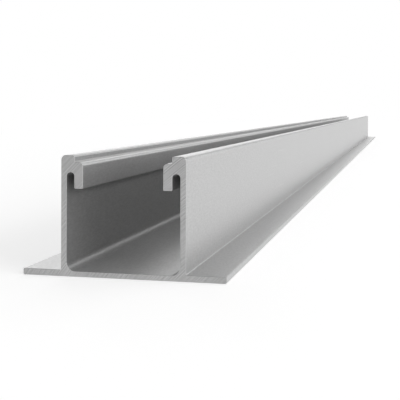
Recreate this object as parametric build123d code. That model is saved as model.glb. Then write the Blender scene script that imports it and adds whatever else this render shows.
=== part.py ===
from build123d import *
import os

# Solar mounting rail: one straight length of extruded aluminium, sawn square at both ends.
# The section is the same all along it and symmetrical left to right. A flat foot plate
# carries two upright webs, and each web ends in a hooked head that turns inwards: a flat
# top, a step down to a shelf, and a lip that hangs from the shelf with a narrow
# round-topped slot between it and the web. Module clamps hook over the shelves and lips.
#
# X runs across the rail, Y along it and Z up. The origin is the middle of the underside.

# Overall sizes in millimetres
rail_length = 1200.0
rail_height = 34.8
foot_width = 60.2
channel_width = 37.0      # over the outer faces of the two webs

# Walls
flange_thickness = 1.9    # the foot plate outside the webs
floor_thickness = 1.6     # the foot plate between the webs
web_thickness = 1.7

# Hooked heads
slot_width = 2.3          # between the web and the lip
slot_depth = 4.7          # from the lip's lower edge to the crown of the slot
lip_thickness = 2.65
lip_depth = 7.6           # from the shelf to the lip's lower edge
shelf_width = 2.55        # from the lip's inner face to the foot of the step
step_depth = 2.0          # from the flat top down to the shelf

# Corners and roots
floor_corner_radius = 2.7
flange_root_radius = 0.3
flange_edge_radius = 0.45
head_outer_radius = 1.4
head_inner_radius = 0.6
step_root_radius = 0.3
shelf_edge_radius = 1.2
lip_edge_radius = 0.25

# Distances from the middle plane, worked out from the sizes above
foot_edge = foot_width / 2
web_outer = channel_width / 2
web_inner = web_outer - web_thickness
slot_inner = web_inner - slot_width
lip_inner = slot_inner - lip_thickness
step_face = lip_inner + shelf_width

# Heights above the underside
shelf_height = rail_height - step_depth
lip_bottom = shelf_height - lip_depth
slot_crown = lip_bottom + slot_depth


def bar(inner, outer, bottom, top):
    """A rectangle of the section between two distances from the middle and two heights."""
    centre = Pos((inner + outer) / 2, (bottom + top) / 2)
    return centre * Rectangle(abs(outer - inner), top - bottom)


def foot():
    """The foot plate: a thinner floor between the webs and a flange outside each of them."""
    plate = bar(-web_outer, web_outer, 0, floor_thickness)
    for side in (-1, 1):
        plate += bar(side * web_inner, side * foot_edge, 0, flange_thickness)
    return plate


def slot():
    """The narrow slot between web and lip, open below and fully round at its crown."""
    crown_radius = slot_width / 2
    crown_centre = slot_crown - crown_radius
    straight = bar(slot_inner, web_inner, lip_bottom, crown_centre)
    return straight + Pos(slot_inner + crown_radius, crown_centre) * Circle(crown_radius)


def hooked_web():
    """The right-hand web with its head: flat top, step, shelf and hanging lip."""
    web = bar(web_inner, web_outer, 0, rail_height)
    flat_top = bar(step_face, web_outer, lip_bottom, rail_height)
    shelf_and_lip = bar(lip_inner, web_outer, lip_bottom, shelf_height)
    return web + ((flat_top + shelf_and_lip) - slot())


def rounded(section, distance, height, radius):
    """The section with its corners at this distance from the middle and height rounded."""
    corners = [
        section.vertices().sort_by_distance(Vector(side * distance, height))[0]
        for side in (-1, 1)
    ]
    return fillet(corners, radius)


def rail_section():
    """The whole extruded section, drawn with the underside on the X axis."""
    right_web = hooked_web()
    section = foot() + right_web + mirror(right_web, about=Plane.YZ)

    # The foot: large roots inside the channel, small ones outside it, rounded plate edges
    section = rounded(section, web_inner, floor_thickness, floor_corner_radius)
    section = rounded(section, web_outer, flange_thickness, flange_root_radius)
    section = rounded(section, foot_edge, flange_thickness, flange_edge_radius)
    section = rounded(section, foot_edge, 0, flange_edge_radius)

    # The heads, from the outer corner over the top and down round the lip
    section = rounded(section, web_outer, rail_height, head_outer_radius)
    section = rounded(section, step_face, rail_height, head_inner_radius)
    section = rounded(section, step_face, shelf_height, step_root_radius)
    section = rounded(section, lip_inner, shelf_height, shelf_edge_radius)
    section = rounded(section, lip_inner, lip_bottom, lip_edge_radius)
    section = rounded(section, slot_inner, lip_bottom, lip_edge_radius)
    return section


# The section stands across the far end and is extruded back along the rail
far_end = Plane.XZ.offset(-rail_length / 2)
rail = extrude(far_end * rail_section(), rail_length)

os.makedirs("parts", exist_ok=True)
export_step(rail, "parts/rail.step")
print(f"section area {rail.volume / rail_length:.1f} mm2, volume {rail.volume:.0f} mm3")
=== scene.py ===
import math

import bpy
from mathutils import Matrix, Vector


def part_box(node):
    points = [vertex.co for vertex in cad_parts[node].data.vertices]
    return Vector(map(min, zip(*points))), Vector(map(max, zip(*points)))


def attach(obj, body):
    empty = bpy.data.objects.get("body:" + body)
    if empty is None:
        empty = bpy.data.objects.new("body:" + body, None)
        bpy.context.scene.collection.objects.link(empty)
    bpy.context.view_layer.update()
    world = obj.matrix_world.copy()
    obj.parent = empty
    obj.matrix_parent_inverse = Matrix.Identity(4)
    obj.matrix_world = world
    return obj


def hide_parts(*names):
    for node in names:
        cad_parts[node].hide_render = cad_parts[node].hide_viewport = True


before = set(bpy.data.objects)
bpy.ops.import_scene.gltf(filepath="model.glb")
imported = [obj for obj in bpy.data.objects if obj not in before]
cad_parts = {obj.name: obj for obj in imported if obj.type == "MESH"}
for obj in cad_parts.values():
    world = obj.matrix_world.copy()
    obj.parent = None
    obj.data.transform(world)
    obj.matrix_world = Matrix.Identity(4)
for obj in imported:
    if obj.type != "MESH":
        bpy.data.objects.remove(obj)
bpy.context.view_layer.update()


# The rail: one length of aluminium pushed through a die, so its section is the same all the
# way along: a foot plate, two webs, and on each web a hooked head that turns inwards. It is
# left as it came from the press, satin and faintly lined, and both ends are sawn square.
MM = 0.001
low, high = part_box("rail")
rail_length = high.y - low.y
foot_edge = high.x
rail_height = high.z

channel_width = 37.0 * MM
flange_thickness = 1.9 * MM
floor_thickness = 1.6 * MM
web_thickness = 1.7 * MM
slot_width = 2.3 * MM
slot_depth = 4.7 * MM
lip_thickness = 2.65 * MM
lip_depth = 7.6 * MM
shelf_width = 2.55 * MM
step_depth = 2.0 * MM

web_outer = channel_width / 2
web_inner = web_outer - web_thickness
slot_inner = web_inner - slot_width
lip_inner = slot_inner - lip_thickness
step_face = lip_inner + shelf_width
shelf_height = rail_height - step_depth
lip_bottom = shelf_height - lip_depth
slot_crown = lip_bottom + slot_depth

# The right half of the section, from the foot's lower edge round to the channel's floor:
# distance from the middle, height, and the radius that the die gives the corner
right_half = [
    (foot_edge, 0, 0.45 * MM),
    (foot_edge, flange_thickness, 0.45 * MM),
    (web_outer, flange_thickness, 0.3 * MM),
    (web_outer, rail_height, 1.4 * MM),
    (step_face, rail_height, 0.6 * MM),
    (step_face, shelf_height, 0.3 * MM),
    (lip_inner, shelf_height, 1.2 * MM),
    (lip_inner, lip_bottom, 0.25 * MM),
    (slot_inner, lip_bottom, 0.25 * MM),
    (slot_inner, slot_crown, slot_width / 2),
    (web_inner, slot_crown, slot_width / 2),
    (web_inner, floor_thickness, 2.7 * MM),
]
left_half = [(-x, z, radius) for x, z, radius in reversed(right_half)]


def round_the_corners(corners, steps=10):
    """The section's outline, anticlockwise, as points (x, z) with the outward direction at each."""
    outline = []
    for i, (x, z, radius) in enumerate(corners):
        here = Vector((x, z))
        before = (Vector(corners[i - 1][:2]) - here).normalized()
        after = (Vector(corners[(i + 1) % len(corners)][:2]) - here).normalized()
        centre = here + (before + after) * radius
        turns_left = before.cross(after) < 0
        for step in range(steps + 1):
            share = 0.5 * math.pi * step / steps
            spoke = -after * math.cos(share) - before * math.sin(share)
            outline.append((centre + spoke * radius, spoke if turns_left else -spoke))
    return outline


def extrude_rail(outline):
    """The skin between the two ends, a tiny rounded arris round each end, and the sawn faces."""
    arris, arris_steps = 0.12 * MM, 3
    turns = [0.5 * math.pi * step / arris_steps for step in range(arris_steps + 1)]
    rings = [(-1, turn) for turn in reversed(turns)] + [(1, turn) for turn in turns]
    vertices, normals = [], []
    for end, turn in rings:
        y = end * (rail_length / 2 - arris * (1 - math.sin(turn)))
        for point, out in outline:
            shrunk = point - out * arris * (1 - math.cos(turn))
            vertices.append((shrunk.x, y, shrunk.y))
            normals.append(Vector((out.x * math.cos(turn), end * math.sin(turn), out.y * math.cos(turn))))
    count = len(outline)
    faces = []
    for ring in range(len(rings) - 1):
        first, second = ring * count, (ring + 1) * count
        for i in range(count):
            j = (i + 1) % count
            faces.append((first + i, second + i, second + j, first + j))
    faces.append(tuple(range(count)))
    faces.append(tuple(reversed(range(len(vertices) - count, len(vertices)))))
    mesh = bpy.data.meshes.new("rail_extrusion")
    mesh.from_pydata(vertices, [], faces)
    mesh.validate()
    mesh.shade_smooth()
    corner_normals = []
    for face in mesh.polygons:
        sawn = len(face.vertices) > 4
        for corner in face.vertices:
            corner_normals.append(face.normal.copy() if sawn else normals[corner])
        face.material_index = 1 if sawn else 0
    mesh.normals_split_custom_set(corner_normals)
    return mesh


rail = bpy.data.objects.new("rail_extrusion", extrude_rail(round_the_corners(right_half + left_half)))
bpy.context.scene.collection.objects.link(rail)


class Wire:
    """One output of a shader's node. Arithmetic on it adds the nodes that do the sum."""

    def __init__(self, tree, socket=None):
        self.tree = tree
        self.socket = socket

    def add(self, kind, settings=None, inputs=None, output=0):
        """Adds a node: first its settings, then each socket's value or link."""
        node = self.tree.nodes.new(kind)
        for name, value in (settings or {}).items():
            if name == "stops":
                ramp = node.color_ramp
                for place, level in value:
                    stop = ramp.elements.new(place)
                    stop.color = (level, level, level, 1)
                ramp.elements.remove(ramp.elements[0])
                ramp.elements.remove(ramp.elements[-1])
            else:
                setattr(node, name, value)
        for name, value in (inputs or {}).items():
            if isinstance(value, Wire):
                self.tree.links.new(value.socket, node.inputs[name])
            else:
                node.inputs[name].default_value = value
        return Wire(self.tree, node.outputs[output] if node.outputs else None)

    def sum(self, operation, *values):
        """A Math node, or a Vector Math node where this is a vector."""
        kind = "ShaderNodeVectorMath" if self.socket.type == "VECTOR" else "ShaderNodeMath"
        return self.add(kind, {"operation": operation}, dict(enumerate(values)))

    def __add__(self, other):
        return self.sum("ADD", self, other)

    __radd__ = __add__

    def __sub__(self, other):
        return self.sum("SUBTRACT", self, other)

    def __rsub__(self, other):
        return self.sum("SUBTRACT", other, self)

    def __mul__(self, other):
        return self.sum("MULTIPLY", self, other)

    __rmul__ = __mul__


def new_material(name):
    material = bpy.data.materials.new(name)
    material.use_nodes = True
    material.node_tree.nodes.clear()
    return material


def mottle(place, across, along, detail=2.0):
    """Noise about 0, from -0.5 to 0.5, in patches this wide across the rail and this long along it."""
    scaled = place * (1 / across, 1 / along, 1 / across)
    return place.add("ShaderNodeTexNoise", None, {"Vector": scaled, "Scale": 1.0, "Detail": detail}) - 0.5


def extruded_skin():
    """Mill finish: satin grey, scored lengthways by the die, with a fine grain and cloudy patches."""
    material = new_material("extruded_skin")
    wire = Wire(material.node_tree)
    place = wire.add("ShaderNodeTexCoord", output="Object")

    # Scores that the die's land leaves, a few hundred millimetres long, and wider drag bands
    scores = mottle(place, 0.30 * MM, 240 * MM, detail=3.0)
    bands = mottle(place, 2.2 * MM, 900 * MM)

    # The grain of the hot metal, and patches where it cooled or was handled unevenly
    grain = mottle(place, 0.45 * MM, 2.0 * MM, detail=3.0)
    clouds = mottle(place, 14 * MM, 55 * MM, detail=3.0)

    # Light rubs from other rails in the bundle: only the highest parts of a long narrow noise
    rubs = place.add("ShaderNodeMapRange", None, {
        "Value": mottle(place, 0.7 * MM, 38 * MM, detail=0.0) + 0.35 * clouds,
        "From Min": 0.27,
        "From Max": 0.36,
    })

    dull_grey, bright_grey = (0.475, 0.475, 0.475, 1), (0.565, 0.565, 0.565, 1)
    tone = 0.5 + 0.35 * bands + 0.20 * scores + 0.45 * clouds + 2.5 * grain + 0.1 * rubs
    colour = wire.add("ShaderNodeMix", {"data_type": "RGBA"}, {
        0: tone,
        6: dull_grey,
        7: bright_grey,
    }, output=2)
    height = 1.2e-6 * scores + 3.0e-6 * bands + 6.0e-6 * grain + 0.5e-6 * rubs
    shader = wire.add("ShaderNodeBsdfPrincipled", None, {
        "Base Color": colour,
        "Metallic": 0.77,
        "Roughness": 0.39 + 0.05 * scores + 0.06 * bands + 0.10 * clouds - 0.05 * rubs,
        "Normal": wire.add("ShaderNodeBump", None, {"Height": height, "Distance": 1.0}),
    })
    wire.add("ShaderNodeOutputMaterial", None, {"Surface": shader})
    return material


def saw_cut():
    """The sawn ends: duller than the skin, with the shallow arcs that a circular blade leaves."""
    material = new_material("saw_cut")
    wire = Wire(material.node_tree)
    place = wire.add("ShaderNodeTexCoord", output="Object")

    # The marks of the teeth are arcs about the blade's arbor, low and to the right of the
    # section, uneven where the blade chattered, with torn specks between them
    arbor = (124 * MM, 0, -106 * MM)
    tooth_mark = 0.28 * MM
    from_arbor = (place - arbor) * (1, 0, 1)
    radius = wire.add("ShaderNodeVectorMath", {"operation": "LENGTH"}, {0: from_arbor}, output="Value")
    chatter = mottle(place, 9 * MM, 9 * MM)

    # The noise is entered at a stretch that is even over the whole section
    even_stretch = 63.4
    arcs = wire.add("ShaderNodeTexNoise", {"noise_dimensions": "1D"}, {
        "W": even_stretch + radius * (1 / tooth_mark) + chatter,
        "Scale": 1.0,
        "Detail": 1.0,
    }) - 0.5
    torn_specks = mottle(place, 0.3 * MM, 0.3 * MM)

    groove_grey, ridge_grey = (0.32, 0.32, 0.32, 1), (0.63, 0.63, 0.63, 1)
    tone = 0.5 + 1.8 * arcs + 0.8 * torn_specks + 0.4 * chatter
    colour = wire.add("ShaderNodeMix", {"data_type": "RGBA"}, {
        0: tone,
        6: groove_grey,
        7: ridge_grey,
    }, output=2)
    height = 9.0e-6 * arcs + 2.5e-6 * torn_specks
    shader = wire.add("ShaderNodeBsdfPrincipled", None, {
        "Base Color": colour,
        "Metallic": 1.0,
        "Roughness": 0.5 + 0.12 * arcs + 0.08 * torn_specks,
        "Normal": wire.add("ShaderNodeBump", None, {"Height": height, "Distance": 1.0}),
    })
    wire.add("ShaderNodeOutputMaterial", None, {"Surface": shader})
    return material


rail.data.materials.append(extruded_skin())
rail.data.materials.append(saw_cut())
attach(rail, "root")
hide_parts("rail")


# The studio: a white room, dimmer overhead, on a floor of white paper. Most of the light comes
# from a big soft box to the right of the near end, and two more stand beyond the far end.
white_wall, dim_ceiling = 1.0, 0.38

# Where the wall ends and the ceiling starts, as the upward part of the direction looked in
wall_top, ceiling_edge = 0.12, 0.16
room = bpy.data.worlds.new("white_room")
bpy.context.scene.world = room
room.use_nodes = True
room.node_tree.nodes.clear()
wire = Wire(room.node_tree)
direction = wire.add("ShaderNodeTexCoord", output="Generated")
upward = wire.add("ShaderNodeSeparateXYZ", None, {"Vector": direction}, output="Z")
wall_to_ceiling = [(wall_top, white_wall), (ceiling_edge, dim_ceiling)]
level = wire.add("ShaderNodeValToRGB", {"stops": wall_to_ceiling}, {"Fac": upward})
background = wire.add("ShaderNodeBackground", None, {"Color": level, "Strength": 1.0})
wire.add("ShaderNodeOutputWorld", None, {"Surface": background})


def soft_box(name, place, width, height, level):
    """A flat lamp that faces the rail. Its level is its brightness, where 1 is white."""
    lamp_data = bpy.data.lights.new(name, "AREA")
    lamp_data.shape = "RECTANGLE"
    lamp_data.size = width
    lamp_data.size_y = height
    lamp_data.energy = level * math.pi * width * height
    lamp = bpy.data.objects.new(name, lamp_data)
    lamp.location = place
    lamp.rotation_euler = (-Vector(place)).to_track_quat("-Z", "Y").to_euler()
    bpy.context.scene.collection.objects.link(lamp)


soft_box("right_box", (5.0, -2.3, 1.8), 4.9, 3.4, 2.7)
soft_box("far_right_box", (3.8, 4.1, 1.9), 6.0, 1.8, 1.2)
soft_box("far_left_box", (-1.6, 5.2, 2.3), 4.0, 3.2, 1.35)

half_floor = 20.0
floor_gap = 0.02 * MM
floor_mesh = bpy.data.meshes.new("floor")
floor_corners = [(-half_floor, -half_floor, 0), (half_floor, -half_floor, 0)]
floor_corners += [(half_floor, half_floor, 0), (-half_floor, half_floor, 0)]
floor_mesh.from_pydata(floor_corners, [], [(0, 1, 2, 3)])
floor = bpy.data.objects.new("floor", floor_mesh)
bpy.context.scene.collection.objects.link(floor)
floor.location.z = -floor_gap

# Seen by the camera or in the metal, the paper is lifted towards white and goes to plain white
# away from the rail. Otherwise it is white paper, and lights the rail as such.
floor_paper = new_material("floor_paper")
wire = Wire(floor_paper.node_tree)
seen = wire.add("ShaderNodeLightPath", output="Is Camera Ray")
for ray in ("Is Glossy Ray", "Is Transmission Ray"):
    seen = seen.sum("MAXIMUM", seen, wire.add("ShaderNodeLightPath", output=ray))
paper = wire.add("ShaderNodeBsdfDiffuse", None, {"Color": (0.9, 0.9, 0.9, 1)})
lift = wire.add("ShaderNodeEmission", None, {"Color": (0.48, 0.48, 0.48, 1), "Strength": 1.0})
lifted_paper = wire.add("ShaderNodeAddShader", None, {0: paper, 1: lift})
white = wire.add("ShaderNodeEmission", None, {"Color": (1, 1, 1, 1), "Strength": 1.0})

# The white is reached along an oval about the rail, four times as long as it is wide
place = wire.add("ShaderNodeTexCoord", output="Object") * (1.0, 0.25, 1.0)
away = wire.add("ShaderNodeVectorMath", {"operation": "LENGTH"}, {0: place}, output="Value")
fade = wire.add("ShaderNodeMapRange", {"interpolation_type": "SMOOTHSTEP"}, {
    "Value": away,
    "From Min": 0.1,
    "From Max": 0.7,
})
seen_paper = wire.add("ShaderNodeMixShader", None, {"Fac": fade, 1: lifted_paper, 2: white})
surface = wire.add("ShaderNodeMixShader", None, {"Fac": seen, 1: paper, 2: seen_paper})
wire.add("ShaderNodeOutputMaterial", None, {"Surface": surface})
floor_mesh.materials.append(floor_paper)


# The camera: level, to the right of the front end and a little above the heads, and turned to
# look along the rail. Its picture is shifted down, so that the webs stand upright in it.
picture_side = 400
focal_length_px = 887.13
horizon_row = 106.78
to_the_right = 77.963 * MM
in_front = 238.997 * MM
above_the_floor = 48.719 * MM
turn_to_the_left = 0.2285
roll = -0.0024
camera_data = bpy.data.cameras.new("camera")
camera_data.sensor_width = 36.0
camera_data.lens = focal_length_px / picture_side * camera_data.sensor_width
camera_data.shift_y = (horizon_row - picture_side / 2) / picture_side
camera_data.clip_start = 0.01
camera = bpy.data.objects.new("camera", camera_data)
camera.location = (to_the_right, -rail_length / 2 - in_front, above_the_floor)
camera.rotation_euler = (math.radians(90), roll, turn_to_the_left)
bpy.context.scene.collection.objects.link(camera)
bpy.context.scene.camera = camera

bpy.context.scene.view_settings.view_transform = "Standard"
